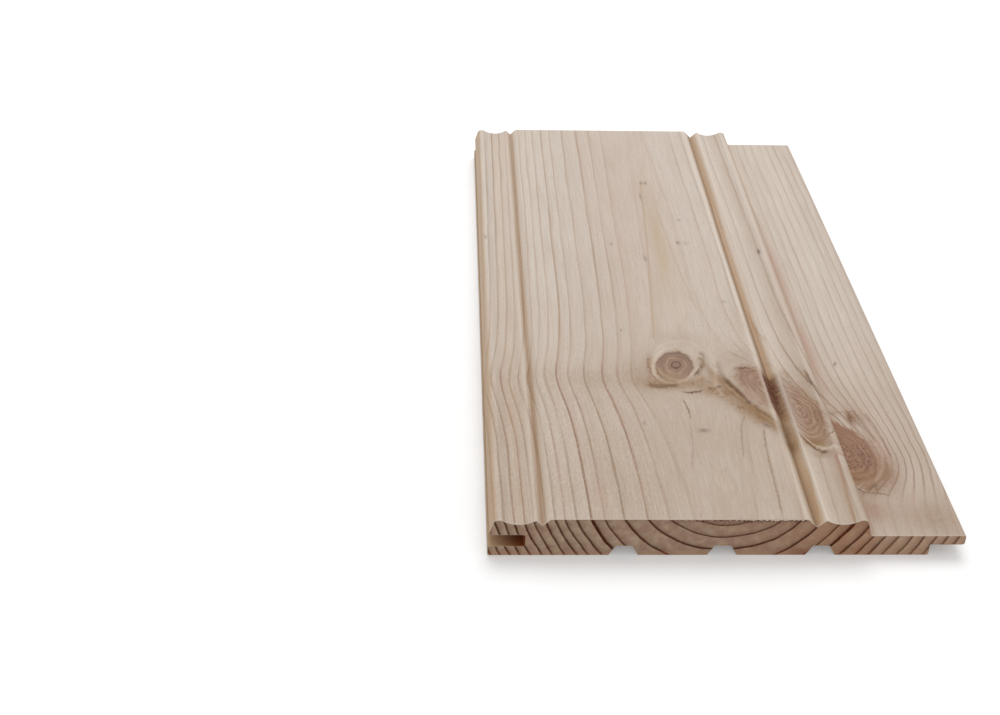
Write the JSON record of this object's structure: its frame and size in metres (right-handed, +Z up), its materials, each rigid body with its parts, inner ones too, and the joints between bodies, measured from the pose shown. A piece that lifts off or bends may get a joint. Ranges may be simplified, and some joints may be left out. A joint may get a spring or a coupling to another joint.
{
  "type": "tongue and groove board",
  "caption": "Planed softwood tongue and groove board: a flat panel between V-grooves and coved beads, with a tongue on one edge, a groove in the other and relief grooves in the back.",
  "frame": {"origin": "on the back plane, in the middle of the board's overall width, tongue included, and of its length", "axes": "+X across the board from the groove edge to the tongue edge, +Y along the grain, +Z up from the back to the moulded face"},
  "size_m": [0.145, 0.275, 0.014],
  "materials": {
    "planed_pine": "planed and unfinished, matt, with growth rings and knots"
  },
  "bodies": {
    "root": {"profiled_board": "planed_pine"}
  },
  "joints": []
}
